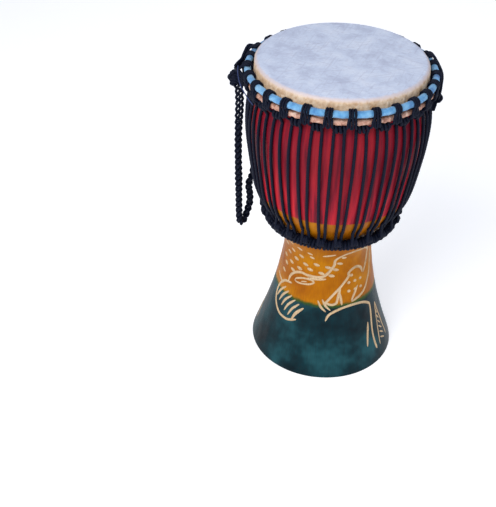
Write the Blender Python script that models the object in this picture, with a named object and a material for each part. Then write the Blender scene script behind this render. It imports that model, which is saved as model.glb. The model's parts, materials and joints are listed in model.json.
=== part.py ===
"""Djembe: a rope-tuned goblet drum with a goatskin head and a braided carrying strap.

The drum's axis is the world Z axis and the foot stands on z = 0. Azimuths are measured from -Y
towards +X. The strap and the rope's tie-off sit on diagonals, so the drum's axis stays the centre
of its bounding box. Rest is the tuned state: the head, its hoop and the crown ring are pulled down
over the shell. They rise together when the tension rope is slackened.
"""
import math

import bmesh
import bpy
from mathutils import Matrix, Vector

# Driving dimensions, in metres and degrees.
HEAD_Z = 0.610
HITCHES = 27
PITCH = 360.0 / HITCHES
SEGMENTS = 2 * HITCHES
GAP = 0.0003
ROPE_R = 0.0022

# Outer outline of the shell: (height, radius) from the foot to the bearing edge.
SHELL_STATIONS = [
    (0.003, 0.1390), (0.096, 0.1083), (0.160, 0.0938), (0.235, 0.0828), (0.300, 0.1034),
    (0.345, 0.1314), (0.400, 0.1464), (0.505, 0.1566), (0.540, 0.1532), (0.561, 0.1486),
    (0.582, 0.1472), (0.600, 0.1472),
]
# Heights of the edges round the shell's outside, below and above the rope's runs.
FOOT_HEIGHTS = (0.035, 0.070, 0.120, 0.180, 0.235, 0.265, 0.290, 0.315)
NECK_HEIGHTS = (0.561, 0.582)
# Inner outline: foot mouth, throat and bowl.
BORE_STATIONS = [(0.0, 0.1190), (0.120, 0.0830), (0.235, 0.0560), (0.330, 0.1020), (0.420, 0.1360),
                 (0.505, 0.1430), (0.590, 0.1320)]
SKIN_T = 0.0012
SHELL_TOP = HEAD_Z - SKIN_T - GAP
SHELL_TOP_R = 0.1472
EDGE_ROUND = 0.0065
FOOT_ROUND = 0.0030

# Crown ring, flesh hoop and bottom ring: centre radius and height, and section radii.
CROWN_R = 0.1597
CROWN_Z = HEAD_Z - 0.0205
CROWN_STEEL = 0.0040
CROWN_CLOTH = 0.0060
HOOP_R = 0.1580
HOOP_Z = CROWN_Z - 0.0156
HOOP_STEEL = 0.0027
FOLD_R = 0.0045
COLLAR_LOW = HOOP_Z + 0.0075
COLLAR_STEP = 0.0010
BOTTOM_R = 0.1166
BOTTOM_Z = 0.3020
BOTTOM_STEEL = 0.0034
BOTTOM_CLOTH = 0.0050
CLOTH_SEAM = 165

# Hitches of the cradle ropes: along, out of and above each ring's centre line. The bights between
# them pass through these shares of the pitch.
UPPER_HITCH = [
    (-0.0054, 0.0076, -0.0160), (-0.0044, 0.0096, -0.0040), (-0.0036, 0.0091, 0.0048),
    (-0.0012, 0.0, 0.0103), (0.0, -0.0086, 0.0050), (0.0010, -0.0086, -0.0048),
    (0.0024, -0.0024, -0.0086), (0.0040, 0.0046, -0.0088), (0.0054, 0.0078, -0.0160),
]
UPPER_SHARES = (0.26, 0.5, 0.74)
LOWER_HITCH = [
    (-0.0038, 0.0096, 0.0040), (-0.0036, 0.0086, -0.0034), (-0.0024, 0.0030, -0.0088),
    (-0.0006, -0.0060, -0.0064), (0.0006, -0.0079, 0.0010), (0.0024, -0.0035, 0.0078),
    (0.0038, 0.0050, 0.0086),
]
LOWER_SHARES = (0.36, 0.5, 0.64)

# Bights of the two cradle ropes, where the tension rope turns.
TOP_BIGHT = (0.1560, CROWN_Z - 0.0282)
LOW_BIGHT = (0.1247, BOTTOM_Z + 0.0108)
TURN_R = 0.0051
RUN_HEIGHTS = (0.348, 0.376, 0.430, 0.505, 0.538)
TOP_RUN = 0.225 * PITCH
TOP_TURN = 0.19 * PITCH
LOW_RUN = 0.165 * PITCH

# Braided strap: its two ties, then its centre line as distance from the top tie and height.
STRAP_TOP = (-43.0, 0.1800, 0.5720)
STRAP_LOW = (-60.0, 0.1515, 0.3520)
STRAP_LINE = [
    (0.0030, 0.5560), (0.0085, 0.5380), (0.0105, 0.5060), (0.0087, 0.4660), (0.0086, 0.4150),
    (0.0108, 0.3490), (0.0120, 0.3030), (0.0130, 0.2740), (0.0145, 0.2570), (0.0205, 0.2475),
    (0.0280, 0.2530), (0.0370, 0.2700), (0.0425, 0.2860), (0.0420, 0.3060), (0.0385, 0.3240),
    (0.0425, 0.3365),
]
STRAND_R = 0.0015
BRAID_WIDTH = 0.0040
BRAID_DEPTH = 0.0032
BRAID_PITCH = 0.036
BRAID_STEPS = 6

# Knots: the top knot's place beyond the tie, the tie-off's place, and the trefoil's sizes.
TOP_KNOT_OUT = 0.0035
TIE_OFF = (136.0, 0.1670, 0.5470)
KNOT_SIZE = 0.0030
KNOT_DEPTH = 0.0036
KNOT_ROPE_R = 0.0021
KNOT_STEPS = 36

# Thin cord beside the top knot.
TIE_CORD_LINE = [(-38.5, 0.1752, 0.5900), (-35.0, 0.1750, 0.5800), (-26.0, 0.1740, 0.5690),
                 (-15.0, 0.1730, 0.5640)]
TIE_CORD_R = 0.0009

# Smoothness of curved paths and edges.
PATH_STEPS = 12
TIE_CORD_STEPS = 3
SMOOTH_ANGLE = 40.0

ROPE_COLOR = (0.012, 0.014, 0.028)
NAVY_COLOR = (0.05, 0.06, 0.12)
STEEL_COLOR = (0.4, 0.4, 0.42)


def clear_scene():
    for obj in list(bpy.data.objects):
        bpy.data.objects.remove(obj, do_unlink=True)


def material(name, color, roughness, metallic=0.0):
    mat = bpy.data.materials.new(name)
    mat.use_nodes = True
    mat.diffuse_color = (*color, 1.0)
    shader = mat.node_tree.nodes["Principled BSDF"]
    shader.inputs["Base Color"].default_value = (*color, 1.0)
    shader.inputs["Roughness"].default_value = roughness
    shader.inputs["Metallic"].default_value = metallic
    return mat


def rope_material(name):
    return material(name, ROPE_COLOR, 0.8)


def steel_material(name):
    return material(name, STEEL_COLOR, 0.4, 1.0)


def link(name, data, mat):
    obj = bpy.data.objects.new(name, data)
    data.materials.append(mat)
    bpy.context.collection.objects.link(obj)
    return obj


def polar(azimuth, radius, z):
    a = math.radians(azimuth)
    return Vector((radius * math.sin(a), -radius * math.cos(a), z))


def smooth_curve(stations, z):
    """Cubic Hermite curve through the stations, with the mean slope at each one."""
    count = len(stations)
    if z <= stations[0][0]:
        return stations[0][1]
    if z >= stations[-1][0]:
        return stations[-1][1]

    def slope(i):
        lo = stations[max(i - 1, 0)]
        hi = stations[min(i + 1, count - 1)]
        return (hi[1] - lo[1]) / (hi[0] - lo[0])

    i = next(n for n in range(count - 1) if stations[n + 1][0] >= z)
    (z0, r0), (z1, r1) = stations[i], stations[i + 1]
    h = z1 - z0
    t = (z - z0) / h
    return ((2 * t**3 - 3 * t**2 + 1) * r0 + (t**3 - 2 * t**2 + t) * h * slope(i)
            + (3 * t**2 - 2 * t**3) * r1 + (t**3 - t**2) * h * slope(i + 1))


def shell_radius(z):
    return smooth_curve(SHELL_STATIONS, z)


def catmull(points, per_span):
    """Points along a smooth path through the given control points."""
    path = []
    last = len(points) - 1
    for i in range(last):
        p0 = points[max(i - 1, 0)]
        p1, p2 = points[i], points[i + 1]
        p3 = points[min(i + 2, last)]
        for step in range(per_span):
            t = step / per_span
            path.append(0.5 * (2 * p1 + (p2 - p0) * t + (2 * p0 - 5 * p1 + 4 * p2 - p3) * t**2
                               + (3 * p1 - p0 - 3 * p2 + p3) * t**3))
    path.append(points[-1].copy())
    return path


def revolve(name, outline, mat, on_axis=False):
    """Turn a closed (r, z) outline about Z. An outline from axis to axis closes on the axis."""
    bm = bmesh.new()
    verts = [bm.verts.new((r, 0.0, z)) for r, z in outline]
    edges = [bm.edges.new((verts[i], verts[i + 1])) for i in range(len(verts) - 1)]
    if not on_axis:
        edges.append(bm.edges.new((verts[-1], verts[0])))
    bmesh.ops.spin(bm, geom=verts + edges, cent=(0, 0, 0), axis=(0, 0, 1), angle=math.tau,
                   steps=SEGMENTS, use_merge=True)
    bmesh.ops.remove_doubles(bm, verts=bm.verts[:], dist=1e-6)
    bmesh.ops.rotate(bm, verts=bm.verts[:], cent=(0, 0, 0),
                     matrix=Matrix.Rotation(-math.pi / 2, 3, "Z"))
    bmesh.ops.recalc_face_normals(bm, faces=bm.faces[:])
    if bm.calc_volume(signed=True) < 0:
        bmesh.ops.reverse_faces(bm, faces=bm.faces[:])
    mesh = bpy.data.meshes.new(name)
    bm.to_mesh(mesh)
    bm.free()
    mesh.shade_smooth()
    mesh.set_sharp_from_angle(angle=math.radians(SMOOTH_ANGLE))
    return link(name, mesh, mat)


def rope(name, points, radius, mat, closed=False):
    """A length of rope: a beveled curve with filled ends, or a closed loop."""
    curve = bpy.data.curves.new(name, "CURVE")
    curve.dimensions = "3D"
    curve.bevel_depth = radius
    curve.bevel_resolution = 0
    curve.use_fill_caps = not closed
    spline = curve.splines.new("POLY")
    spline.points.add(len(points) - 1)
    for point, co in zip(spline.points, points):
        point.co = (*co, 1.0)
    spline.use_cyclic_u = closed
    spline.use_smooth = True
    return link(name, curve, mat)


def arc(center, radius, start, end, steps):
    """Points of a circular arc in the (r, z) plane, angles in degrees."""
    points = []
    for i in range(steps + 1):
        a = math.radians(start + (end - start) * i / steps)
        points.append((center[0] + radius * math.cos(a), center[1] + radius * math.sin(a)))
    return points


def build_shell(mat):
    """Goblet turned from one log: foot, stem and bowl, hollow from end to end."""
    outline = arc((shell_radius(0.0) - FOOT_ROUND, FOOT_ROUND), FOOT_ROUND, -90, 0, 2)
    outline += [(shell_radius(z), z) for z in (*FOOT_HEIGHTS, *RUN_HEIGHTS, *NECK_HEIGHTS)]
    outline += arc((SHELL_TOP_R - EDGE_ROUND, SHELL_TOP - EDGE_ROUND), EDGE_ROUND, 0, 90, 2)
    outline += [(r, z) for z, r in reversed(BORE_STATIONS)]
    return revolve("shell", outline, mat)


def build_drumhead(mat):
    """Skin over the bearing edge, down the collar and rolled under and round the flesh hoop."""
    collar = SHELL_TOP_R + GAP + SKIN_T
    round_out = EDGE_ROUND + GAP + SKIN_T
    round_in = EDGE_ROUND + GAP
    edge_center = (SHELL_TOP_R - EDGE_ROUND, SHELL_TOP - EDGE_ROUND)
    hoop = (HOOP_R, HOOP_Z)
    outside = [(0.0, HEAD_Z)] + arc(edge_center, round_out, 90, 0, 2) + [(collar, COLLAR_LOW)]
    fold_out = arc(hoop, FOLD_R - SKIN_T, 205, 485, 5)
    fold_back = arc(hoop, FOLD_R, 485, 215, 5)
    inside = [(collar - SKIN_T, COLLAR_LOW - COLLAR_STEP)] + arc(edge_center, round_in, 0, 90, 2)
    inside += [(0.0, HEAD_Z - SKIN_T)]
    outline = outside + fold_out + fold_back + inside
    return revolve("drumhead", outline, mat, on_axis=True)


def build_ring(name, ring_r, ring_z, section_r, mat):
    return revolve(name, arc((ring_r, ring_z), section_r, 0, 270, 3), mat)


def build_ring_cloth(name, ring_r, ring_z, steel_r, cloth_r, mat):
    """Cloth wound on the ring, with its open seam on the inner side."""
    center = (ring_r, ring_z)
    outside = arc(center, cloth_r, -CLOTH_SEAM, CLOTH_SEAM, 5)
    inside = arc(center, steel_r + 4 * GAP, CLOTH_SEAM, -CLOTH_SEAM, 4)
    return revolve(name, outside + inside, mat)


def offset_azimuth(azimuth, distance, radius):
    """Azimuth of a point a given distance along the circle from another azimuth."""
    return azimuth + math.degrees(distance / radius)


def build_upper_cradle(mat):
    """One rope: a hitch round the crown ring, then a bight below the flesh hoop, all the way round."""
    points = []
    for k in range(HITCHES):
        azimuth = k * PITCH
        for along, out, up in UPPER_HITCH:
            points.append(polar(offset_azimuth(azimuth, along, CROWN_R), CROWN_R + out, CROWN_Z + up))
        for share in UPPER_SHARES:
            points.append(polar(azimuth + share * PITCH, *TOP_BIGHT))
    return rope("upper_cradle_rope", points, ROPE_R, mat, closed=True)


def build_lower_cradle(mat):
    """One rope: a hitch round the bottom ring, then a short bight above it, all the way round."""
    points = []
    for k in range(HITCHES):
        azimuth = (k - 0.5) * PITCH
        for along, out, up in LOWER_HITCH:
            points.append(polar(offset_azimuth(azimuth, along, BOTTOM_R), BOTTOM_R + out,
                                BOTTOM_Z + up))
        for share in LOWER_SHARES:
            points.append(polar(azimuth + share * PITCH, *LOW_BIGHT))
    return rope("lower_cradle_rope", points, ROPE_R, mat, closed=True)


def turn_round_bight(azimuth, half_width, bight, start, end):
    """Half a turn of rope round a bight, from its inner side to its outer side or back."""
    points = []
    for i, (r, z) in enumerate(arc(bight, TURN_R, start, end, 4)):
        points.append(polar(azimuth + half_width * (i / 2 - 1), r, z))
    return points


def run_points(low_azimuth, high_azimuth, downwards):
    """A straight run of the tension rope lying on the bowl."""
    points = []
    for z in RUN_HEIGHTS:
        share = (z - LOW_BIGHT[1]) / (TOP_BIGHT[1] - LOW_BIGHT[1])
        azimuth = low_azimuth + (high_azimuth - low_azimuth) * share
        points.append(polar(azimuth, shell_radius(z) + ROPE_R + 2 * GAP, z))
    return list(reversed(points)) if downwards else points


def build_tension_rope(mat):
    """One rope laced up and down between the two cradles."""
    points = []
    for k in range(HITCHES):
        azimuth = k * PITCH
        points += turn_round_bight(azimuth, LOW_RUN, LOW_BIGHT, 0, -180)
        points += run_points(azimuth + LOW_RUN, azimuth + TOP_RUN, downwards=False)
        points += turn_round_bight(azimuth + 0.5 * PITCH, TOP_TURN, TOP_BIGHT, 180, 0)
        points += run_points(azimuth + PITCH - LOW_RUN, azimuth + PITCH - TOP_RUN, downwards=True)
    return rope("tension_rope", points, ROPE_R, mat, closed=True)


def strap_axes():
    """Top tie, horizontal direction towards the lower tie, and the outward normal between them."""
    top = polar(*STRAP_TOP)
    low = polar(*STRAP_LOW)
    along = Vector((low.x - top.x, low.y - top.y, 0.0)).normalized()
    outward = along.cross(Vector((0, 0, 1)))
    if outward.dot(top) < 0:
        outward.negate()
    return top, along, outward


def strap_path():
    """Centre line of the hanging strap, in the vertical plane through its two ties."""
    top, along, _ = strap_axes()
    points = [top + along * distance + Vector((0, 0, z - top.z)) for distance, z in STRAP_LINE]
    return catmull(points, PATH_STEPS)


def resample(path, step):
    """Points at equal distances along a path."""
    points = [path[0].copy()]
    left = step
    for a, b in zip(path, path[1:]):
        length = (b - a).length
        done = 0.0
        while length - done >= left:
            done += left
            points.append(a.lerp(b, done / length))
            left = step
        left -= length - done
    return points


def build_strap(mats):
    """Three ropes in a flat braid along the strap's centre line."""
    _, _, outward = strap_axes()
    path = resample(strap_path(), BRAID_PITCH / BRAID_STEPS)
    strands = []
    for index, mat in enumerate(mats):
        points = []
        for i, point in enumerate(path):
            ahead = path[min(i + 1, len(path) - 1)]
            behind = path[max(i - 1, 0)]
            tangent = (ahead - behind).normalized()
            across = tangent.cross(outward).normalized()
            phase = math.tau * ((i + 0.5) / BRAID_STEPS + index / 3)
            points.append(point + outward * BRAID_WIDTH * math.sin(phase)
                          + across * BRAID_DEPTH * math.sin(2 * phase))
        strands.append(rope("strap_strand_" + "abc"[index], points, STRAND_R, mat))
    return strands


def build_knot(name, place, flat, mat):
    """Knotted rope: a closed trefoil, its axis radial when flat and tangential when not."""
    azimuth, radius, z = place
    center = polar(azimuth, radius, z)
    radial = polar(azimuth, 1.0, 0.0)
    up = Vector((0, 0, 1))
    tangent = up.cross(radial)
    side, axis = (tangent, radial) if flat else (radial, tangent)
    points = []
    for i in range(KNOT_STEPS):
        t = math.tau * i / KNOT_STEPS
        x = KNOT_SIZE * (math.sin(t) + 2 * math.sin(2 * t))
        y = KNOT_SIZE * (math.cos(t) - 2 * math.cos(2 * t))
        points.append(center + side * x + up * y + axis * (-KNOT_DEPTH * math.sin(3 * t)))
    return rope(name, points, KNOT_ROPE_R, mat, closed=True)


def build_tie_cord(mat):
    """Thin cord that hangs from the crown beside the strap's top knot."""
    controls = [polar(*point) for point in TIE_CORD_LINE]
    return rope("strap_tie_cord", catmull(controls, TIE_CORD_STEPS), TIE_CORD_R, mat)


def joint_frame(name, location):
    empty = bpy.data.objects.new(name, None)
    empty.location = location
    bpy.context.collection.objects.link(empty)
    return empty


def hang(empty, objects):
    for obj in objects:
        obj.parent = empty
        obj.location = -empty.location


def build_drum_body():
    build_shell(material("painted_wood", (0.42, 0.03, 0.04), 0.45))
    build_ring("bottom_ring", BOTTOM_R, BOTTOM_Z, BOTTOM_STEEL, steel_material("bottom_steel"))
    build_ring_cloth("bottom_ring_cloth", BOTTOM_R, BOTTOM_Z, BOTTOM_STEEL, BOTTOM_CLOTH,
                     material("black_cloth", (0.02, 0.02, 0.03), 0.9))
    build_lower_cradle(rope_material("lower_cradle_cord"))
    build_tension_rope(rope_material("tension_cord"))


def build_head_assembly():
    top_azimuth, top_radius, top_z = STRAP_TOP
    top_knot = (top_azimuth, top_radius + TOP_KNOT_OUT, top_z)
    return [
        build_drumhead(material("goatskin", (0.72, 0.70, 0.72), 0.6)),
        build_ring("flesh_hoop", HOOP_R, HOOP_Z, HOOP_STEEL, steel_material("hoop_steel")),
        build_ring("crown_ring", CROWN_R, CROWN_Z, CROWN_STEEL, steel_material("crown_steel")),
        build_ring_cloth("crown_ring_cloth", CROWN_R, CROWN_Z, CROWN_STEEL, CROWN_CLOTH,
                         material("blue_cloth", (0.10, 0.38, 0.72), 0.85)),
        build_upper_cradle(rope_material("upper_cradle_cord")),
        build_knot("tie_off_knot", TIE_OFF, True, rope_material("tie_off_cord")),
        build_knot("strap_top_knot", top_knot, False, rope_material("top_knot_cord")),
        build_knot("strap_lower_knot", STRAP_LOW, True, rope_material("lower_knot_cord")),
        build_tie_cord(material("tie_cord", NAVY_COLOR, 0.7)),
    ]


def main():
    clear_scene()
    build_drum_body()
    head = joint_frame("head_slide_axis", (0.0, 0.0, CROWN_Z))
    hang(head, build_head_assembly())
    strap = joint_frame("strap_swing_axis", polar(*STRAP_TOP))
    hang(strap, build_strap([rope_material("strand_cord_" + letter) for letter in "abc"]))


main()
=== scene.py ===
"""Looks of the rope-tuned djembe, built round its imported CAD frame.

Azimuths are in degrees, from -Y towards +X. The carved front faces FRONT. A path on the drum is a
list of (azimuth, radius, height) points. A turned form is an outline of (radius, height) points.
"""

import json
import math

import bmesh
import bpy
import numpy as np
from mathutils import Matrix, Vector


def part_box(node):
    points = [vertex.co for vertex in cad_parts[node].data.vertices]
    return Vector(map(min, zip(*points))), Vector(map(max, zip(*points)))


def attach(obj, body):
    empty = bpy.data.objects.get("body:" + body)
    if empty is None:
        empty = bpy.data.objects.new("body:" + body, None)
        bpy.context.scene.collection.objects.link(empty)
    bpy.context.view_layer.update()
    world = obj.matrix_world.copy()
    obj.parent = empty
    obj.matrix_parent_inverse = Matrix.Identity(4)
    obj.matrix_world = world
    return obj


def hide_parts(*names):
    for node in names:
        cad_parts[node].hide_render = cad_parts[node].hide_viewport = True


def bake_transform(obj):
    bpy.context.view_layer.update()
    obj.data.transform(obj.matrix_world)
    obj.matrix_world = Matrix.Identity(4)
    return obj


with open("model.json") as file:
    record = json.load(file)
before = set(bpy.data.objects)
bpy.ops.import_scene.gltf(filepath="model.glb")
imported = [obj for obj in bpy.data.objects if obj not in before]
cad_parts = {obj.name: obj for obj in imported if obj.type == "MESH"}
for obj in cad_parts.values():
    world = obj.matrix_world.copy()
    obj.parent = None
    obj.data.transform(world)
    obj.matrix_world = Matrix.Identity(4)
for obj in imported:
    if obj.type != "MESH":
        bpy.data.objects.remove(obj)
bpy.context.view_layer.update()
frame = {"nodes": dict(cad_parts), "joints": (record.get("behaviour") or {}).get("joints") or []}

FRONT = 45.0
HITCHES = 27
PITCH = 360.0 / HITCHES
CORD_R = 0.0024
HITCH_R = 0.0022
CORD_LAY = 0.0135
CLEAR = 0.0003

# Camera: how far off it stands, and its angles in degrees.
CAMERA_DISTANCE = 1.7354
CAMERA_ELEVATION = 26.26
CAMERA_PAN = -5.62
CAMERA_TILT = 36.94
CAMERA_ROLL = 1.16
CAMERA_LENS = 71.0

# Studio: half the floor's side, its glow, and each lamp's azimuth off the front, elevation, distance,
# size, power and colour.
FLOOR_HALF = 6.0
FLOOR_GLOW = 0.34
WORLD_GLOW = 0.50
BACKDROP_GLOW = 1.0
LAMPS = {
    "key": (-30, 42, 2.4, 1.6, 46, (1.0, 0.98, 0.95)),
    "fill": (60, 24, 2.6, 2.0, 16, (0.92, 0.96, 1.0)),
    "rim": (175, 42, 2.6, 1.8, 12, (0.95, 0.97, 1.0)),
}

# Skin and its fold round the hoop.
SKIN_T = 0.0012
FOLD_R = 0.0045

# Upper cradle, at each hitch: the angles of a wrap over the ring, then the points (along, above, out of
# the hoop's centre line) before the first wrap, in the loop under the hoop, and after the last wrap.
WRAP_ANGLES = (-10, 35, 80, 125, 170, 215, 260, 290)
HITCH_START = [(-0.0064, -0.0052, 0.0077), (-0.0062, 0.0036, 0.0080)]
HITCH_LOOP = [(-0.0026, 0.0030, 0.0077), (-0.0021, -0.0048, 0.0077), (0.0, -0.0075, 0.0070),
              (0.0020, -0.0048, 0.0077), (0.0017, 0.0036, 0.0080)]
HITCH_END = [(0.0060, 0.0030, 0.0077), (0.0064, -0.0052, 0.0077)]
HITCH_SLIP = 0.0004
TURN_SLIP = 0.3

# Lower cradle: its rope, how far it stands off the cloth, and its wraps at each hitch.
LOW_ROPE_R = 0.0037
LOW_STAND = 0.0010
LOW_WRAPS = 4
LOW_SPACING = 0.0066
LOW_SWELL = 0.0012

# Tension rope: its section, its turns round the bights, and where its runs start and end in a pitch.
RUN_R = 0.0030
TURN_R = 0.0053
BIGHT_TURNS = 2.5
TOP_RUN = 0.27 * PITCH
TOP_TURN = 0.23 * PITCH
LOW_RUN = 0.165 * PITCH
RUN_HEIGHTS = (0.335, 0.348, 0.376, 0.430, 0.470, 0.505, 0.535, 0.549)

# Strap: its centre line as distance towards the lower tie and drop below the top tie, and its braid.
STRAP_LINE = [(0.0010, 0.0050), (0.0030, 0.0160), (0.0085, 0.0340), (0.0105, 0.0660), (0.0087, 0.1060),
              (0.0086, 0.1570), (0.0108, 0.2230), (0.0120, 0.2690), (0.0130, 0.2980), (0.0145, 0.3150),
              (0.0205, 0.3245), (0.0280, 0.3190), (0.0370, 0.3020), (0.0425, 0.2860), (0.0420, 0.2660),
              (0.0385, 0.2480), (0.0425, 0.2355), (0.0510, 0.2270)]
STRAND_R = 0.0027
BRAID_WIDTH = 0.0042
BRAID_DEPTH = 0.0036
BRAID_PITCH = 0.036
BRAID_STEP = 0.003
BRAID_LOOSE = 0.110


# --- sizes read from the frame

def section_of(node):
    """Radius of a CAD ring's round section."""
    low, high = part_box(node)
    return (high.z - low.z) / 2


def ring_of(node):
    """Centre radius and height of a CAD ring."""
    low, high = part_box(node)
    return high.y - section_of(node), (high.z + low.z) / 2


def turned_stations(node, outer):
    """(height, radius) corners of the outer or inner side of a turned CAD node, from the foot up."""
    stations = {}
    mesh = frame["nodes"][node].data
    for face in mesh.polygons:
        outward = face.normal.x * face.center.x + face.normal.y * face.center.y
        if outward * (1 if outer else -1) > 0.02 * math.hypot(face.center.x, face.center.y):
            for index in face.vertices:
                co = mesh.vertices[index].co
                stations[round(co.z, 4)] = math.hypot(co.x, co.y)
    return sorted(stations.items())


CROWN_R, CROWN_Z = ring_of("crown_ring")
HOOP_R, HOOP_Z = ring_of("flesh_hoop")
BOTTOM_R, BOTTOM_Z = ring_of("bottom_ring")
HEAD_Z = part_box("drumhead")[1].z
CROWN_CLOTH = section_of("crown_ring_cloth")
BOTTOM_CLOTH = section_of("bottom_ring_cloth")
OUTSIDE = turned_stations("shell", True)
INSIDE = turned_stations("shell", False)
OUTSIDE_TOP_R = OUTSIDE[-3][1]
TOP_BIGHT = (HOOP_R - 0.0020, CROWN_Z - 0.0282)
LOW_BIGHT = (BOTTOM_R + 0.0081, BOTTOM_Z + 0.0108)
STRAP_HINGE = next(j for j in frame["joints"] if j["name"] == "strap_swing")["pos_m"]


# --- curves and meshes

def polar(azimuth, radius, z):
    """Point or points at an azimuth, a distance from the axis and a height."""
    a = np.radians(azimuth)
    return np.stack([radius * np.sin(a), -radius * np.cos(a), z + 0.0 * a], axis=-1)


def shell_radius(z):
    """Smooth outer radius of the shell at height z, through the frame's stations."""
    heights = np.array([s[0] for s in OUTSIDE])
    radii = np.array([s[1] for s in OUTSIDE])
    slopes = np.gradient(radii, heights)
    i = int(np.clip(np.searchsorted(heights, z) - 1, 0, len(heights) - 2))
    h = heights[i + 1] - heights[i]
    t = min(max((z - heights[i]) / h, 0.0), 1.0)
    return ((2 * t**3 - 3 * t**2 + 1) * radii[i] + (t**3 - 2 * t**2 + t) * h * slopes[i]
            + (3 * t**2 - 2 * t**3) * radii[i + 1] + (t**3 - t**2) * h * slopes[i + 1])


def catmull(points, per_span, closed=False):
    """Points along a smooth path through the given control points."""
    p = np.asarray(points, float)
    if closed:
        p0, p1, p2, p3 = np.roll(p, 1, 0), p, np.roll(p, -1, 0), np.roll(p, -2, 0)
    else:
        ends = np.concatenate([p[:1], p, p[-1:]])
        p0, p1, p2, p3 = ends[:-3], ends[1:-2], ends[2:-1], ends[3:]
    t = (np.arange(per_span) / per_span)[None, :, None]
    p0, p1, p2, p3 = (q[:, None, :] for q in (p0, p1, p2, p3))
    path = 0.5 * (2 * p1 + (p2 - p0) * t + (2 * p0 - 5 * p1 + 4 * p2 - p3) * t**2
                  + (3 * p1 - p0 - 3 * p2 + p3) * t**3)
    path = path.reshape(-1, p.shape[1])
    return path if closed else np.concatenate([path, p[-1:]])


def even_steps(path, step, closed=False):
    """The same path with points at equal distances of about one step."""
    p = np.asarray(path, float)
    if closed:
        p = np.concatenate([p, p[:1]])
    length = np.concatenate([[0.0], np.cumsum(np.linalg.norm(np.diff(p, axis=0), axis=1))])
    count = max(int(round(length[-1] / step)), 2)
    at = np.linspace(0.0, length[-1], count + 1)
    points = np.stack([np.interp(at, length, p[:, k]) for k in range(p.shape[1])], axis=1)
    return points[:-1] if closed else points


def unit(v):
    return v / np.maximum(np.linalg.norm(v, axis=-1, keepdims=True), 1e-12)


def ripple(seed, around, along, low, high, count, drift):
    """Smooth seeded relief of about -1 to 1 that closes on itself round the drum."""
    rng = np.random.default_rng(seed)
    total = 0.0
    for _ in range(count):
        waves = int(rng.integers(low, high))
        total = total + np.cos(waves * around + rng.normal() * drift * along + rng.uniform(0, math.tau))
    return total / math.sqrt(count)


def make_object(name, verts, faces, materials, face_slots=None):
    mesh = bpy.data.meshes.new(name)
    mesh.from_pydata(verts.tolist(), [], faces)
    for material in materials:
        mesh.materials.append(material)
    if face_slots is not None:
        mesh.polygons.foreach_set("material_index", np.asarray(face_slots, np.int32))
    mesh.shade_smooth()
    obj = bpy.data.objects.new(name, mesh)
    bpy.context.collection.objects.link(obj)
    return obj


def stand_for(piece, node, body):
    """The piece takes a CAD node's place, and rides on a body."""
    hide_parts(node)
    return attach(piece, body)


def grid_faces(rows, cols, close_rows):
    """Quads over rows of points, each row a closed ring of cols points."""
    i = np.arange(rows if close_rows else rows - 1)[:, None]
    j = np.arange(cols)[None, :]
    i2, j2 = (i + 1) % rows, (j + 1) % cols
    return np.stack([i * cols + j, i2 * cols + j, i2 * cols + j2, i * cols + j2], axis=-1).reshape(-1, 4)


def joined(parts):
    """Points and faces of several meshes as one, each given as its points and its faces."""
    verts, faces, start = [], [], 0
    for points, part_faces in parts:
        verts.append(points)
        faces += [[index + start for index in face] for face in part_faces]
        start += len(points)
    return np.concatenate(verts), faces


def store_vector(obj, name, values):
    """Keeps a vector on each point of the mesh for its material to read."""
    attribute = obj.data.attributes.new(name, "FLOAT_VECTOR", "POINT")
    attribute.data.foreach_set("vector", np.asarray(values, np.float32).ravel())


def turn(name, outline, columns, materials, relief=None, row_slots=None):
    """Turn a closed outline, which runs from the top down its outer side, about Z.

    relief(angles, outline) gives each point's push along its outline's normal. Each point keeps
    its distance round the drum and its distance along the outline as "lie".
    """
    outline = np.asarray(outline, float)
    rows = len(outline)
    tangent = unit(np.roll(outline, -1, 0) - np.roll(outline, 1, 0))
    normal = np.stack([-tangent[:, 1], tangent[:, 0]], axis=1)
    angle = np.arange(columns) * math.tau / columns
    angles, _ = np.meshgrid(angle, np.arange(rows))
    push = np.zeros((rows, columns)) if relief is None else relief(angles, outline)
    r = outline[:, :1] + normal[:, :1] * push
    z = outline[:, 1:] + normal[:, 1:] * push
    verts = np.stack([r * np.sin(angles), -r * np.cos(angles), z], axis=-1)
    faces = grid_faces(rows, columns, True).tolist()
    slots = None
    if row_slots is not None:
        slots = np.repeat(np.asarray(row_slots), columns)
    obj = make_object(name, verts.reshape(-1, 3), faces, materials, slots)
    along = np.concatenate([[0.0], np.cumsum(np.linalg.norm(np.diff(outline, axis=0), axis=1))])
    lie = np.stack([angles * outline[:, :1], along[:, None] + 0 * angles, 0 * angles], axis=-1)
    store_vector(obj, "lie", lie.reshape(-1, 3))
    if outline[0, 0] == 0.0:
        close_axis(obj)
    return obj


def close_axis(obj):
    """Draws the rings that lie on the axis together into single points."""
    bm = bmesh.new()
    bm.from_mesh(obj.data)
    on_axis = [v for v in bm.verts if math.hypot(v.co.x, v.co.y) < 1e-6]
    bmesh.ops.remove_doubles(bm, verts=on_axis, dist=1e-6)
    bm.to_mesh(obj.data)
    bm.free()


def carried_frames(path, closed):
    """Tangents of a path, and a side vector carried along it without twist."""
    if closed:
        tangent = unit(np.roll(path, -1, 0) - np.roll(path, 1, 0))
    else:
        tangent = unit(np.gradient(path, axis=0))
    side = np.zeros_like(path)
    start = np.cross(tangent[0], [0.0, 0.0, 1.0])
    if np.linalg.norm(start) < 0.1:
        start = np.cross(tangent[0], [1.0, 0.0, 0.0])
    side[0] = unit(start)
    for i in range(1, len(path)):
        s = side[i - 1] - tangent[i] * np.dot(side[i - 1], tangent[i])
        side[i] = s / math.sqrt(s @ s)
    return tangent, side


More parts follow.
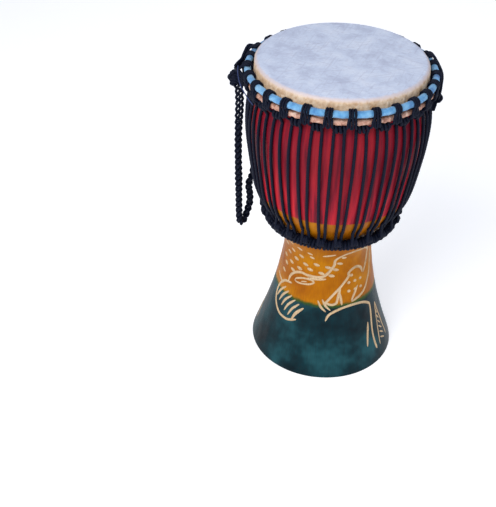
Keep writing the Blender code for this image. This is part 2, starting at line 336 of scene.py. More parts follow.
def rope_points(path, radius, closed, sides, step, strands, lobe, lay):
    """Points, faces and lie of one laid rope: a section of rounded strands that turns as it goes."""
    p = even_steps(path, step, closed)
    tangent, side = carried_frames(p, closed)
    other = np.cross(tangent, side)
    s = np.concatenate([[0.0], np.cumsum(np.linalg.norm(np.diff(p, axis=0), axis=1))])
    total = s[-1] + (np.linalg.norm(p[0] - p[-1]) if closed else 0.0)
    turns = total / lay * math.tau
    if closed:
        end = side[-1] - tangent[0] * np.dot(side[-1], tangent[0])
        slip = math.atan2(np.dot(np.cross(end, side[0]), tangent[0]), np.dot(end, side[0]))
        turns = round(total / lay) * math.tau + slip
    theta = np.arange(sides) * math.tau / sides
    angle = theta[None, :] + (s / total * turns)[:, None]
    swell = np.ones(len(p))
    if not closed:
        swell[[0, -1]] = 0.55
    r = radius * (1 - lobe + lobe * np.cos(strands * theta))[None, :] * swell[:, None]
    verts = (p[:, None, :] + side[:, None, :] * (r * np.cos(angle))[..., None]
             + other[:, None, :] * (r * np.sin(angle))[..., None])
    faces = grid_faces(len(p), sides, closed)[:, ::-1].tolist()
    if not closed:
        faces.append(list(range(sides))[::-1])
        faces.append(list(range((len(p) - 1) * sides, len(p) * sides)))
    lie = np.stack([s[:, None] + 0 * angle, angle, 0 * angle], axis=-1)
    return verts.reshape(-1, 3), faces, lie.reshape(-1, 3)


def cord(name, paths, radius, material, closed=False, sides=9, step=0.0017, strands=3, lobe=0.07,
         lay=CORD_LAY):
    """Laid ropes along one or more paths, as one object.

    Each point keeps its distance along its rope and its angle round it as "lie".
    """
    ropes = [rope_points(path, radius, closed, sides, step, strands, lobe, lay) for path in paths]
    obj = make_object(name, *joined([rope[:2] for rope in ropes]), [material])
    store_vector(obj, "lie", np.concatenate([rope[2] for rope in ropes]))
    return obj


# --- materials

def srgb(*rgb):
    """Linear colour of an sRGB colour given in parts of 255."""
    linear = [c / 12.92 if c <= 0.04045 else ((c + 0.055) / 1.055) ** 2.4 for c in (v / 255 for v in rgb)]
    return (*linear, 1.0)


class Look:
    """A Principled material and short ways to wire the nodes that drive it."""

    def __init__(self, name, roughness=0.6, metallic=0.0, **inputs):
        self.material = bpy.data.materials.new(name)
        self.material.use_nodes = True
        self.tree = self.material.node_tree
        self.shader = self.tree.nodes["Principled BSDF"]
        self.set("Roughness", roughness)
        self.set("Metallic", metallic)
        for key, value in inputs.items():
            self.set(key.replace("_", " "), value)

    def put(self, socket, value):
        if isinstance(value, bpy.types.NodeSocket):
            self.tree.links.new(value, socket)
        else:
            socket.default_value = value

    def set(self, name, value):
        self.put(self.shader.inputs[name], value)

    def node(self, kind, values=(), **settings):
        made = self.tree.nodes.new(kind)
        for key, value in settings.items():
            setattr(made, key, value)
        for key, value in dict(values).items():
            self.put(made.inputs[key], value)
        return made

    def math(self, operation, a, b=0.0, c=0.0):
        return self.node("ShaderNodeMath", {0: a, 1: b, 2: c}, operation=operation).outputs[0]

    def place(self):
        return self.node("ShaderNodeTexCoord").outputs["Object"]

    def axes(self, vector):
        return self.node("ShaderNodeSeparateXYZ", {0: vector}).outputs

    def vector(self, x, y, z):
        return self.node("ShaderNodeCombineXYZ", {0: x, 1: y, 2: z}).outputs[0]

    def lie(self):
        """The distances that the mesh keeps on its points."""
        return self.node("ShaderNodeAttribute", attribute_name="lie").outputs["Vector"]

    def join(self, operation, a, b=(0.0, 0.0, 0.0)):
        return self.node("ShaderNodeVectorMath", {0: a, 1: b}, operation=operation).outputs[0]

    def stretch(self, vector, x, y, z):
        return self.join("MULTIPLY", vector, (x, y, z))

    def noise(self, vector, scale, detail=3.0, roughness=0.55, distortion=0.0):
        values = {"Vector": vector, "Scale": scale, "Detail": detail, "Roughness": roughness,
                  "Distortion": distortion}
        return self.node("ShaderNodeTexNoise", values).outputs["Fac"]

    def ramp(self, fac, *stops):
        """Colour ramp; each stop is a position and a colour or a grey level."""
        made = self.node("ShaderNodeValToRGB", {0: fac})
        elements = made.color_ramp.elements
        for i, (position, color) in enumerate(stops):
            element = elements[i] if i < 2 else elements.new(position)
            element.position = position
            element.color = color if isinstance(color, tuple) else (color, color, color, 1.0)
        return made.outputs["Color"]

    def mix(self, fac, a, b):
        made = self.node("ShaderNodeMix", data_type="RGBA")
        self.put(made.inputs[0], fac)
        self.put(made.inputs[6], a)
        self.put(made.inputs[7], b)
        return made.outputs[2]

    def span(self, value, low, high, to_low=0.0, to_high=1.0):
        """Value from low..high carried over to to_low..to_high, held at the ends."""
        made = self.node("ShaderNodeMapRange", {0: value, 1: low, 2: high, 3: to_low, 4: to_high})
        return made.outputs[0]

    def bump(self, height, distance, strength=1.0):
        values = {"Height": height, "Distance": distance, "Strength": strength}
        self.set("Normal", self.node("ShaderNodeBump", values).outputs[0])


def painted_wood():
    """Stained and varnished shell: teal foot, amber stem and red bowl, streaked along the grain."""
    look = Look("painted_wood", Coat_Weight=0.02, Coat_Roughness=0.25, Specular_IOR_Level=0.07)
    place = look.place()
    x, y, z = look.axes(place)
    around = look.join("NORMALIZE", look.vector(x, y, 0.0))
    grain = look.join("ADD", around, look.vector(0.0, 0.0, look.math("MULTIPLY", z, 0.45)))
    streak = look.noise(grain, 15.0, 4.0, 0.6)
    fine = look.noise(grain, 120.0, 3.0, 0.6)
    cloud = look.noise(place, 14.0, 3.0, 0.6)
    edge = look.noise(place, 45.0, 3.0, 0.6)
    red = look.ramp(streak, (0.38, srgb(108, 18, 40)), (0.50, srgb(176, 30, 50)), (0.62, srgb(206, 44, 54)))
    # Painted shade: the red darkens towards the top of the bowl, standing in for the shadow under the crown
    # ring.
    red = look.mix(look.span(z, 0.375, 0.480, 0.0, 0.62), red, srgb(96, 18, 34))
    amber = look.ramp(cloud, (0.34, srgb(150, 80, 0)), (0.52, srgb(170, 100, 0)), (0.72, srgb(190, 122, 0)))
    teal = look.ramp(cloud, (0.32, srgb(2, 24, 32)), (0.50, srgb(10, 46, 54)), (0.70, srgb(32, 80, 88)))
    green = srgb(52, 78, 30)
    upper = look.span(look.math("MULTIPLY_ADD", edge, 0.0060, z), 0.3636, 0.3662)
    lower = look.math("MULTIPLY_ADD", edge, 0.0100, z)
    color = look.mix(look.span(lower, 0.1430, 0.1480), teal, green)
    color = look.mix(look.span(lower, 0.1485, 0.1540), color, amber)
    color = look.mix(upper, color, red)
    color = look.mix(look.span(fine, 0.40, 0.75, 0.0, 0.28), color, srgb(30, 14, 10))
    look.set("Base Color", color)
    look.set("Roughness", look.span(cloud, 0.3, 0.7, 0.30, 0.46))
    look.bump(look.math("ADD", look.math("MULTIPLY", fine, 0.6), streak), 0.0006, 0.5)
    return look.material


def carved_wood():
    """Bare pale wood in the gouged lines."""
    look = Look("carved_wood", 0.72)
    fibre = look.noise(look.stretch(look.place(), 1.0, 1.0, 0.12), 900.0, 3.0, 0.6)
    patch = look.noise(look.place(), 70.0, 3.0)
    pale = look.ramp(fibre, (0.30, srgb(172, 146, 114)), (0.70, srgb(220, 196, 158)))
    look.set("Base Color", look.mix(look.span(patch, 0.42, 0.75, 0.0, 0.55), pale, srgb(186, 154, 116)))
    look.bump(fibre, 0.0005, 0.6)
    return look.material


def raw_wood():
    """Unstained hollowed inside, darkened by handling."""
    look = Look("raw_wood", 0.75)
    fibre = look.noise(look.stretch(look.place(), 1.0, 1.0, 0.06), 260.0, 4.0, 0.6)
    patch = look.noise(look.place(), 18.0, 3.0)
    color = look.ramp(fibre, (0.32, srgb(104, 68, 42)), (0.68, srgb(168, 118, 78)))
    look.set("Base Color", look.mix(look.span(patch, 0.4, 0.7, 0.0, 0.5), color, srgb(86, 58, 40)))
    look.bump(fibre, 0.0010, 0.8)
    return look.material


def goatskin():
    """Scraped skin: pale mottled head, tan and creased below the edge."""
    look = Look("goatskin", Subsurface_Weight=0.0)
    place = look.place()
    x, y, z = look.axes(place)
    radius = look.math("SQRT", look.math("MULTIPLY_ADD", x, x, look.math("MULTIPLY", y, y)))
    cloud = look.noise(place, 30.0, 6.0, 0.66, 0.3)
    small = look.noise(place, 120.0, 5.0, 0.66, 0.5)
    pore = look.noise(place, 900.0, 2.0, 0.6)
    # The face's lavender-blue tint is painted light: the cool sky light on the head, painted into the pale
    # skin's colours.
    face = look.ramp(cloud, (0.34, srgb(168, 176, 200)), (0.50, srgb(187, 197, 219)),
                     (0.68, srgb(200, 208, 226)))
    face = look.mix(look.span(small, 0.52, 0.74, 0.0, 0.5), face, srgb(164, 166, 188))
    for heading in (20, 65, 118):
        along, across = math.cos(math.radians(heading)), math.sin(math.radians(heading))
        run = look.math("ADD", look.math("MULTIPLY", x, along), look.math("MULTIPLY", y, across))
        side = look.math("SUBTRACT", look.math("MULTIPLY", y, along), look.math("MULTIPLY", x, across))
        streak = look.noise(look.vector(look.math("MULTIPLY", run, 0.06), side, heading), 250.0, 3.0, 0.6)
        face = look.mix(look.span(streak, 0.56, 0.68, 0.0, 0.42), face, srgb(158, 162, 186))
    tan = look.ramp(small, (0.34, srgb(190, 154, 120)), (0.50, srgb(214, 186, 156)),
                    (0.68, srgb(232, 212, 190)))
    tan = look.mix(look.span(cloud, 0.48, 0.66, 0.0, 0.5), tan, srgb(206, 168, 122))
    fold = look.ramp(small, (0.32, srgb(126, 80, 64)), (0.52, srgb(186, 138, 118)),
                     (0.70, srgb(224, 196, 178)))
    reach = look.math("MULTIPLY_ADD", small, 0.006, radius)
    color = look.mix(look.span(reach, 0.1452, 0.1492), face, srgb(198, 186, 188))
    drop = look.math("MULTIPLY_ADD", small, 0.004, z)
    color = look.mix(look.span(drop, HEAD_Z - 0.0005, HEAD_Z - 0.0050), color, tan)
    color = look.mix(look.span(z, HOOP_Z + 0.0085, HOOP_Z + 0.0060), color, fold)
    look.set("Base Color", color)
    look.set("Roughness", look.span(small, 0.3, 0.7, 0.48, 0.66))
    look.bump(look.math("ADD", look.math("MULTIPLY", pore, 0.25), small), 0.0007, 0.55)
    return look.material


def wound_cloth(name, dark, mid, light):
    """Plain-woven cloth strips wound on a ring."""
    look = Look(name, 0.82, Sheen_Weight=0.25, Sheen_Roughness=0.5)
    along, across, _ = look.axes(look.lie())
    slant = look.vector(look.math("ADD", along, across), look.math("SUBTRACT", across, along), 0.0)
    threads = []
    for turn_to in ("X", "Y"):
        wave = look.node("ShaderNodeTexWave", {"Vector": slant, "Scale": 420.0, "Distortion": 1.4,
                                               "Detail": 2.0, "Detail Scale": 3.0}, bands_direction=turn_to)
        threads.append(wave.outputs["Fac"])
    weave = look.math("MAXIMUM", *threads)
    patch = look.noise(look.place(), 60.0, 4.0, 0.6)
    color = look.ramp(patch, (0.32, dark), (0.50, mid), (0.70, light))
    look.set("Base Color", look.mix(look.span(weave, 0.2, 0.9, 0.30, 0.0), color, dark))
    look.bump(weave, 0.00035, 0.7)
    return look.material


def cord_look(name, base, fleck, fleck_2):
    """Dark laid polyester cord, with fine fibres and a few coloured yarns."""
    look = Look(name, Specular_IOR_Level=0.12)
    fibres = look.noise(look.stretch(look.lie(), 300.0, 2.6, 0.0), 1.6, 3.0, 0.65)
    patch = look.noise(look.place(), 420.0, 2.0, 0.6)
    color = look.ramp(fibres, (0.30, tuple(0.45 * c for c in base[:3]) + (1.0,)), (0.72, base))
    color = look.mix(look.span(patch, 0.60, 0.72, 0.0, 0.55), color, fleck)
    color = look.mix(look.span(patch, 0.36, 0.28, 0.0, 0.45), color, fleck_2)
    look.set("Base Color", color)
    look.set("Roughness", look.span(fibres, 0.3, 0.7, 0.50, 0.70))
    look.bump(fibres, 0.0004, 0.7)
    return look.material


def steel():
    """Plain round bar with thin surface rust."""
    look = Look("ring_steel", metallic=1.0)
    rust = look.noise(look.place(), 220.0, 4.0, 0.65)
    look.set("Base Color", look.ramp(rust, (0.45, srgb(120, 120, 124)), (0.62, srgb(96, 58, 36))))
    look.set("Metallic", look.span(rust, 0.48, 0.62, 1.0, 0.1))
    look.set("Roughness", look.span(rust, 0.4, 0.65, 0.35, 0.8))
    look.bump(rust, 0.0003, 0.5)
    return look.material


# --- shell and its carving

def bow(center, reach, start, end, lean=0.0):
    """Part of an ellipse on the unrolled stem, between two angles; lean lifts its right side."""
    count = round(abs(end - start) / 30) + 1
    line = []
    for angle in np.radians(np.linspace(start, end, count)):
        across = reach[0] * math.cos(angle)
        line.append((center[0] + across, center[1] + reach[1] * math.sin(angle) + lean * across))
    return line


def repeat(first, stroke, step, count):
    """The same stroke several times, each moved on by one step."""
    lines = []
    for i in range(count):
        azimuth, height = first[0] + i * step[0], first[1] + i * step[1]
        lines.append([(azimuth + across, height + rise) for across, rise in stroke])
    return lines


# The carving, in degrees from the front and millimetres of height: an animal's head that looks left,
# with its brow, muzzle, eye, drooping ear and cheek, and a bent limb under it.
BROW = bow((-27, 170), (22, 33), 180, 75) + [(-2, 206)] + bow((38, 234), (28, 25), 190, 5)
MUZZLE = bow((-42, 133), (23, 38), 90, 310)
EYE_AT = (-26, 186)
EYE = bow(EYE_AT, (13, 7), 180, 0, 0.35) + bow(EYE_AT, (13, 5), 0, -180, 0.35)
PUPIL = [(EYE_AT[0] - 4, EYE_AT[1] - 2), (EYE_AT[0] + 4, EYE_AT[1] + 2)]
EAR = bow((41, 199), (12, 19), 0, 180) + bow((10, 153), (6, 6), 180, 360) + [(20, 183)]
CHEEK = bow((34, 240), (41, 93), 0, -90)
INNER_CHEEK = bow((34, 240), (30, 60), 6, -45)
LIMB = bow((33, 113), (29, 27), 180, 0) + [(58, 55), (60, 18)]
CREASES = [[(-22, 196), (2, 201)], [(44, 177), (34, 149)], [(19, 172), (22, 144)], [(54, 88), (48, 41)],
           [(-76, 164), (-57, 157)]]
LONG_LINES = [BROW, MUZZLE, EAR, CHEEK, INNER_CHEEK, LIMB] + CREASES

# Strokes across the muzzle, of which the last is the tusk, and two short ones behind it.
*WHISKERS, TUSK = repeat((-62, 123), [(0, 0), (4, 17), (12, 33)], (5.8, -4.8), 6)
WHISKERS += repeat((-6, 155), [(0, 0), (4, -13), (10, -23)], (5, 3), 2)

# Rows of nicks on the forehead, each by its first azimuth, height and count, then a row up the brow.
NICK_SPACING = 15
NICK_ROWS = [(-51, 254, 3), (-64, 240, 4), (-57, 226, 5), (-65, 212, 5), (-60, 198, 2), (-62, 180, 1)]
NICKS = [(first + NICK_SPACING * i, height + 3 * (1 - i % 3))
         for first, height, count in NICK_ROWS for i in range(count)]
NICKS += [(8 + 5 * i, 208 + 13 * i) for i in range(4)]
DASH = [(-5, 252), (12, 258)]
SPOTS = [(35, 203)] + [(31 + 9 * i, 189 - 18 * row) for row in range(2) for i in range(3)]
LEAVES = [(73, 112), (128, 96), (206, 104), (262, 90)]
BACK_WAVES = (104, 150, 182, 236)
BACK_NICKS = [(88 + 7.6 * i, 246 - 13 * (i % 3) - 6 * (i % 2)) for i in range(26)]

# Each kind of cut: its width, depth, the length of its tapered ends, and the spacing of its points.
LINE_CUT = (0.0050, 0.0017, 0.010, 0.0022)
EYE_CUT = (0.0038, 0.0014, 0.010, 0.0022)
TUSK_CUT = (0.0062, 0.0018, 0.018, 0.0022)
PUPIL_CUT = (0.0030, 0.0012, 0.006, 0.0022)
WHISKER_CUT = (0.0048, 0.0016, 0.014, 0.0022)
LEAF_CUT = (0.0034, 0.0013, 0.008, 0.0022)
NICK_CUT = (0.0064, 0.0017, 0.007, 0.0016)
DASH_CUT = (0.0052, 0.0015, 0.012, 0.0022)
SPOT_CUT = (0.0062, 0.0014, 0.003, 0.0014)


def gouge(line, cut):
    """Points of one gouged line's cutter: a round-bottomed channel along the shell's surface."""
    width, depth, taper, step = cut
    controls = []
    for azimuth, height in line:
        z = height / 1000
        controls.append(polar(FRONT + azimuth, shell_radius(z), z))
    path = even_steps(catmull(controls, 8) if len(line) > 2 else np.array(controls), step)
    angle = np.arctan2(path[:, 0], -path[:, 1])
    radius = np.array([shell_radius(z) for z in path[:, 2]])
    slope = np.array([(shell_radius(z + 0.002) - shell_radius(z - 0.002)) / 0.004 for z in path[:, 2]])
    path = polar(np.degrees(angle), radius, path[:, 2])
    normal = unit(np.stack([np.sin(angle), -np.cos(angle), -slope], axis=1))
    tangent = unit(np.gradient(path, axis=0))
    side = np.cross(tangent, normal)
    away = np.minimum(np.arange(len(path)), np.arange(len(path))[::-1]) * step
    thin = 0.25 + 0.75 * np.sqrt(np.clip(away / taper, 0.0, 1.0))
    bottom = np.radians(np.linspace(180, 360, 7))
    across = np.concatenate([np.cos(bottom) * width / 2, [width * 0.6, -width * 0.6]])
    deep = np.concatenate([np.sin(bottom) * depth, [0.0016, 0.0016]])
    verts = (path[:, None] + side[:, None] * (across[None, :] * thin[:, None])[..., None]
             + normal[:, None] * (deep * np.where(deep < 0, thin[:, None], 1.0))[..., None])
    rows, cols = verts.shape[:2]
    faces = grid_faces(rows, cols, False).tolist()
    faces += [list(range(cols)), list(range((rows - 1) * cols, rows * cols))[::-1]]
    return verts.reshape(-1, 3), faces


def leaf_lines(azimuth, height):
    """A tall hatched leaf: two sides that meet at its tip, and slanting strokes between them."""
    lines = []
    for reaches in ((-4, -7, -8), (5, 8, 8)):
        heights = (height * 0.62, height * 0.3, 8)
        lines.append([(azimuth, height)] + [(azimuth + reach, z) for reach, z in zip(reaches, heights)])
    for share in np.arange(0.16, 0.80, 0.105):
        z = height * share
        reach = 7.4 * (1 - 0.8 * share)
        lines.append([(azimuth - reach + 1.5, z + 7), (azimuth + reach - 1.5, z - 5)])
    return lines


def back_line(azimuth):
    """A wavy line down the far side, in the hand of the front."""
    return [(azimuth, 236), (azimuth + 9, 214), (azimuth + 1, 192), (azimuth + 11, 170), (azimuth + 4, 150)]


def carving_cutters():
    """All gouged lines as two batches: long outlines, and the strokes that may meet them."""
    lines = LONG_LINES + [back_line(azimuth) for azimuth in BACK_WAVES]
    outlines = [gouge(line, LINE_CUT) for line in lines]
    outlines.append(gouge(EYE, EYE_CUT))
    strokes = [gouge(TUSK, TUSK_CUT), gouge(PUPIL, PUPIL_CUT)]
    strokes += [gouge(line, WHISKER_CUT) for line in WHISKERS]
    for azimuth, height in LEAVES:
        leaf = [gouge(line, LEAF_CUT) for line in leaf_lines(azimuth, height)]
        outlines += leaf[:2]
        strokes += leaf[2:]
    for azimuth, height in NICKS + BACK_NICKS:
        strokes.append(gouge([(azimuth - 3.8, height + 1.5), (azimuth + 4.2, height - 1.0)], NICK_CUT))
    strokes.append(gouge(DASH, DASH_CUT))
    for azimuth, height in SPOTS:
        strokes.append(gouge([(azimuth - 2.2, height + 1), (azimuth + 2.2, height - 1)], SPOT_CUT))
    return outlines, strokes


def carve(shell, cutters, material):
    """Cut one batch of channels out of the shell; their walls show the bare wood."""
    cutter = make_object("carving_cutter", *joined(cutters), [material])
    cut = shell.modifiers.new("carve", "BOOLEAN")
    cut.object = cutter
    cut.operation = "DIFFERENCE"
    cut.solver = "EXACT"
    cut.use_self = True
    cut.material_mode = "TRANSFER"
    settled = bpy.data.meshes.new_from_object(shell.evaluated_get(bpy.context.evaluated_depsgraph_get()))
    shell.modifiers.clear()
    shell.data = settled
    bpy.data.objects.remove(cutter, do_unlink=True)


def build_shell():
    """Goblet of one log: the turned outside, the hollowed inside and the carved stem."""
    outer = catmull([(r, z) for z, r in reversed(OUTSIDE)], 10)
    outer = even_steps(outer, 0.0042)
    inner = even_steps(catmull([(r, z) for z, r in INSIDE], 8), 0.011)
    foot = np.array([(INSIDE[0][1] + 0.004, 0.0)])
    outline = np.concatenate([outer, foot, inner])
    outline[:, 1] = np.maximum(outline[:, 1], 0.0)
    slots = [0] * (len(outer) - 1) + [1] * (len(outline) - len(outer) + 1)

    def chatter(angle, points):
        """Faint adze marks, less near the bearing edge and the foot."""
        z = points[:, 1:]
        marks = ripple(3, angle, z * 60, 9, 30, 12, 1.0)
        fade = np.clip((HEAD_Z - 0.03 - z) / 0.05, 0, 1) * np.clip(z / 0.02, 0, 1)
        outside = (np.arange(len(points)) < len(outer))[:, None]
        return marks * fade * np.where(outside, 0.00022, 0.0008)

    shell = turn("shell_body", outline, 360, [painted_wood(), raw_wood()], chatter, slots)
    bare = carved_wood()
    shell.data.materials.append(bare)
    for batch in carving_cutters():
        carve(shell, batch, bare)
    shell.data.shade_smooth()
    shell.data.set_sharp_from_angle(angle=math.radians(38))
    return stand_for(shell, "shell", "drum_body")


# --- head and wound rings

def arc(center, radius, start, end, steps):
    """Points of a circular arc in the (radius, height) plane, angles in degrees."""
    a = np.radians(np.linspace(start, end, steps + 1))
    return np.stack([center[0] + radius * np.cos(a), center[1] + radius * np.sin(a)], axis=1)


def build_head():
    """Goatskin over the bearing edge, down the collar and rolled round the flesh hoop."""
    edge_r, edge_z = OUTSIDE[-1][1], OUTSIDE[-1][0]
    round_r = dict(OUTSIDE)[min(z for z, _ in OUTSIDE if z > HOOP_Z + 0.006)] - edge_r
    center = (edge_r, edge_z - round_r)
    collar = edge_r + round_r + CLEAR + SKIN_T
    hoop = (HOOP_R, HOOP_Z)
    face = np.stack([np.linspace(0.0, edge_r - 0.002, 46), np.full(46, HEAD_Z)], axis=1)
    outside = np.concatenate([face, arc(center, HEAD_Z - center[1], 90, 0, 12),
                              [(collar, z) for z in np.linspace(center[1] - 0.002, HOOP_Z + 0.0075, 10)]])
    roll_in = arc(hoop, FOLD_R - SKIN_T, 200, 485, 16)
    roll_out = arc(hoop, FOLD_R, 485, 215, 26)
    back = np.array([(collar - SKIN_T, z) for z in np.linspace(HOOP_Z + 0.0065, center[1] - 0.002, 6)])
    under = arc(center, HEAD_Z - SKIN_T - center[1], 0, 90, 8)
    below = np.stack([np.linspace(edge_r - 0.002, 0.0, 8), np.full(8, HEAD_Z - SKIN_T)], axis=1)
    outline = np.concatenate([outside, roll_in, roll_out, back, under, below])
    lip = len(outside) + len(roll_in)
    index = np.arange(len(outline))[:, None]

    def creases(angle, points):
        """Puckers on the collar and the rolled edge, and a faint unevenness over the face."""
        z, r = points[:, 1:], points[:, :1]
        pleats = ripple(11, angle, z * 90, 40, 120, 18, 1.0)
        broad = ripple(12, angle, r * 40, 2, 9, 8, 1.2)
        on_side = (index >= len(face)) & (index < len(outside))
        on_collar = on_side * np.clip((HEAD_Z + 0.002 - z) / 0.012, 0, 1)
        on_roll = (index >= lip + 2) & (index < lip + len(roll_out) - 2)
        on_face = (index < len(face)) * np.clip(r / 0.05, 0, 1)
        return 0.00042 * pleats * on_collar + 0.00050 * pleats * on_roll + 0.00010 * broad * on_face

    head = turn("head_skin", outline, 600, [goatskin()], creases)
    return stand_for(head, "drumhead", "head_assembly")


def wound_ring(name, node, ring, cloth_r, strips, columns, rows, look, body):
    """Cloth strips wound slantwise round a ring, each lapping over the last."""
    outline = arc(ring, cloth_r, 90, 90 - 360, rows)[:-1]
    around = np.linspace(0, 1, rows, endpoint=False)[:, None]

    def laps(angle, _):
        share = (angle / math.tau * strips + around) % 1.0
        edge = 0.00055 * share**1.5
        slack = 0.00016 * ripple(21, angle, around * 6, 20, 90, 12, 1.0)
        return edge + slack - 0.0002

    wound = turn(name, outline, columns, [look], laps)
    return stand_for(wound, node, body)


# --- ropes

def wound_hitch(around, azimuth):
    """Rope wound round the bottom ring in whole wraps, which swell twice on the way."""
    points = []
    steps = LOW_WRAPS * 8
    for i in range(steps + 1):
        share = i / steps
        a = math.radians(60 + 360.0 * LOW_WRAPS * share)
        along = LOW_SPACING * LOW_WRAPS * (share - 0.5)
        reach = around + LOW_SWELL * math.sin(2 * math.pi * share) ** 2
        points.append(polar(azimuth + math.degrees(along / BOTTOM_R), BOTTOM_R + reach * math.cos(a),
                            BOTTOM_Z + reach * math.sin(a)))
    return points


def build_upper_cradle(look):
    """Wraps round the crown ring, a loop down over the hoop at each hitch, and bights between hitches."""
    around = CROWN_CLOTH + HITCH_R
    inner = OUTSIDE_TOP_R + 0.0015 + HITCH_R + 0.0002
    rng = np.random.default_rng(31)
    points = []

    def on_ring(azimuth, along, angle):
        a = math.radians(angle)
        r = max(CROWN_R + around * math.cos(a), inner)
        return polar(azimuth + math.degrees(along / CROWN_R), r, CROWN_Z + around * math.sin(a))

    def on_hoop(azimuth, along, above, out):
        return polar(azimuth + math.degrees(along / HOOP_R), HOOP_R + out, HOOP_Z + above)

    for k in range(HITCHES):
        azimuth = k * PITCH + rng.uniform(-TURN_SLIP, TURN_SLIP)
        slip = rng.uniform(-HITCH_SLIP, HITCH_SLIP, 3)
        points += [on_hoop(azimuth, *spot) for spot in HITCH_START]
        points += [on_ring(azimuth, slip[0] - 0.0044 + 0.0002 * i, a) for i, a in enumerate(WRAP_ANGLES)]
        points += [on_hoop(azimuth, *spot) for spot in HITCH_LOOP]
        points += [on_ring(azimuth, slip[1] + 0.0002 * i, a) for i, a in enumerate(WRAP_ANGLES[:-1])]
        points += [on_ring(azimuth, 0.0030, 300)]
        points += [on_ring(azimuth, slip[2] + 0.0044 + 0.0001 * i, a) for i, a in enumerate(WRAP_ANGLES)]
        points += [on_hoop(azimuth, *spot) for spot in HITCH_END]
        for share in (0.27, 0.40, 0.50, 0.60, 0.73):
            sag = 0.0010 * (1 - abs(share - 0.5) / 0.23)
            points.append(polar(k * PITCH + share * PITCH, TOP_BIGHT[0], TOP_BIGHT[1] + 0.0008 - sag))
    path = catmull(points, 6, closed=True)
    rope = cord("upper_cradle", [path], HITCH_R, look, closed=True, sides=8, step=0.0016)
    return stand_for(rope, "upper_cradle_rope", "head_assembly")


def build_lower_cradle(look):
    """Four wraps round the bottom ring at each hitch, and a short bight above it between hitches."""
    around = BOTTOM_CLOTH + LOW_STAND
    rng = np.random.default_rng(32)
    points = []
    for k in range(HITCHES):
        azimuth = (k - 0.5) * PITCH + rng.uniform(-TURN_SLIP, TURN_SLIP)
        points += wound_hitch(around, azimuth)
        for share in (0.36, 0.5, 0.64):
            points.append(polar((k - 0.5 + share) * PITCH, *LOW_BIGHT))
    path = catmull(points, 6, closed=True)
    rope = cord("lower_cradle", [path], LOW_ROPE_R, look, closed=True, sides=10, step=0.0018)
    return stand_for(rope, "lower_cradle_rope", "drum_body")


def turn_round_bight(azimuth, half_width, bight, start):
    """Turns of rope round a bight, ending on its far side."""
    points = []
    steps = int(BIGHT_TURNS * 12)
    for i, (r, z) in enumerate(arc(bight, TURN_R, start, start - 360 * BIGHT_TURNS, steps)):
        points.append(polar(azimuth + half_width * (2 * i / steps - 1), r, z))
    return points


def run_points(low_azimuth, high_azimuth, sway):
    """A run of the tension rope lying on the bowl, a little off straight."""
    points = []
    for z in RUN_HEIGHTS:
        share = (z - LOW_BIGHT[1]) / (TOP_BIGHT[1] - LOW_BIGHT[1])
        bow = sway * math.sin(math.pi * share)
        azimuth = low_azimuth + (high_azimuth - low_azimuth) * share + bow
        points.append(polar(azimuth, shell_radius(z) + RUN_R + 0.0004, z))
    return points


def build_tension_rope(look):
    """One rope laced up and down between the cradles."""
    rng = np.random.default_rng(33)
    points = []
    for k in range(HITCHES):
        azimuth = k * PITCH
        sways = rng.uniform(-0.25, 0.25, 2)
        points += turn_round_bight(azimuth, LOW_RUN, LOW_BIGHT, 0)
        points += run_points(azimuth + LOW_RUN, azimuth + TOP_RUN, sways[0])
        points += turn_round_bight(azimuth + 0.5 * PITCH, TOP_TURN, TOP_BIGHT, 180)
        points += run_points(azimuth + PITCH - LOW_RUN, azimuth + PITCH - TOP_RUN, sways[1])[::-1]
    path = catmull(points, 6, closed=True)
    rope = cord("tension_lacing", [path], RUN_R, look, closed=True, sides=9, step=0.0018)
    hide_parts("tension_rope")
    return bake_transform(rope)


# --- strap and knots

def strap_axes():
    """Top tie, horizontal direction towards the lower tie, and the outward normal."""
    top = np.array(STRAP_HINGE, float)
    low_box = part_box("strap_lower_knot")
    along = np.array((low_box[0] + low_box[1]) / 2) - top
    along[2] = 0.0
    along = along / np.linalg.norm(along)
    outward = np.cross(along, [0.0, 0.0, 1.0])
    if outward @ top < 0:
        outward = -outward
    return top, along, outward


def build_strap(look):
    """Three cords in a flat braid, hanging from the crown and tied again lower on the bowl."""
    top, along, outward = strap_axes()
    line = np.array([top + along * distance - np.array([0, 0, drop]) for distance, drop in STRAP_LINE])
    path = even_steps(catmull(line, 12), BRAID_STEP)
    tangent = unit(np.gradient(path, axis=0))
    across = unit(np.cross(tangent, outward))
    s = np.arange(len(path)) * BRAID_STEP
    loose = 0.40 * np.exp(-((s - 0.03) / BRAID_LOOSE) ** 2)
    fray = (1.0 + loose + 0.10 * np.sin(s * 37.0) + 0.06 * np.sin(s * 91.0 + 1.0))[:, None]
    strands = []
    for index in range(3):
        phase = (math.tau * (s / BRAID_PITCH + index / 3))[:, None]
        strand = (path + outward * BRAID_WIDTH * fray * np.sin(phase)
                  + across * BRAID_DEPTH * np.sin(2 * phase))
        name = "abc"[index]
        rope = cord("strap_braid_" + name, [strand], STRAND_R, look, sides=12, step=0.0015, lay=0.018,
                    lobe=0.10)
        strands.append(stand_for(rope, "strap_strand_" + name, "strap"))
    return strands


def knot_path(center, side, up, axis, size, turns):
    """Closed knot: a coil of turns stacked along up, and a lead back down over the outside of them."""
    steps = 20 * turns
    t = np.linspace(0.0, 1.0, steps)
    angle = math.tau * turns * t
    rise = CORD_R * 1.9 * turns
    coil = (center + side * (size * np.cos(angle))[:, None] + axis * (size * np.sin(angle))[:, None]
            + up * (rise * (t - 0.5))[:, None])
    back = []
    for share in (0.15, 0.35, 0.5, 0.65, 0.85):
        swing = angle[-1] + math.tau * 0.5 * share
        reach = size + 1.7 * CORD_R * math.sin(math.pi * share) ** 0.5
        back.append(center + side * reach * math.cos(swing) + axis * reach * math.sin(swing)
                    + up * rise * (0.5 - share) * 1.15)
    return catmull(np.concatenate([coil, back]), 4, closed=True)


